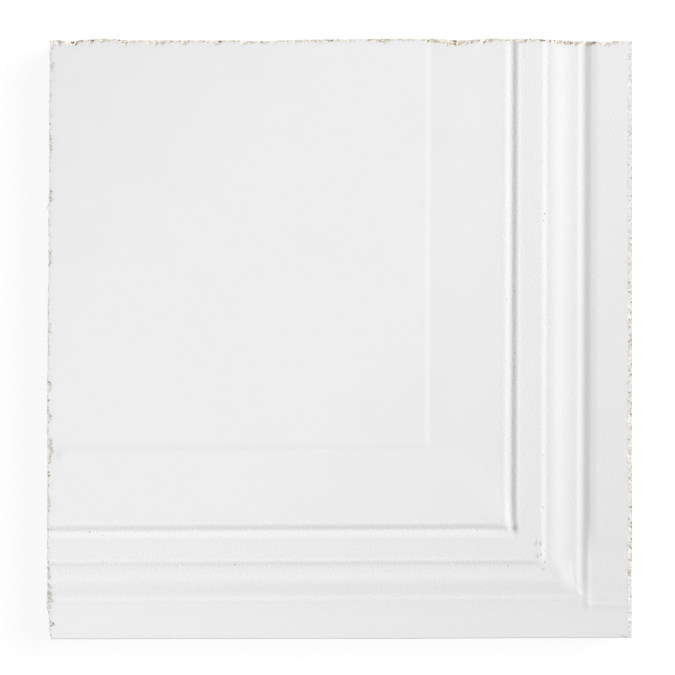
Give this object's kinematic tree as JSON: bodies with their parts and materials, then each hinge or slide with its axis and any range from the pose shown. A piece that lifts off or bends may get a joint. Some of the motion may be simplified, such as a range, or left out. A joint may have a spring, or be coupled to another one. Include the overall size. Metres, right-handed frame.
{
  "type": "suspended ceiling tile corner piece",
  "caption": "Corner piece cut from a painted, moulded mineral-fibre ceiling tile, with a grooved frame, a saw kerf and flat borders that rest on the ceiling grid.",
  "frame": {"origin": "middle of the flat back face, which is also the middle of the bottom of the bounding box", "axes": "+X towards the border beyond the saw kerf, +Y away from the plain border, along the saw kerf, +Z out of the painted face"},
  "size_m": [0.1534, 0.1572, 0.0159],
  "materials": {
    "white_paint": "matte"
  },
  "bodies": {
    "root": {"tile_board": "white_paint"}
  },
  "joints": []
}
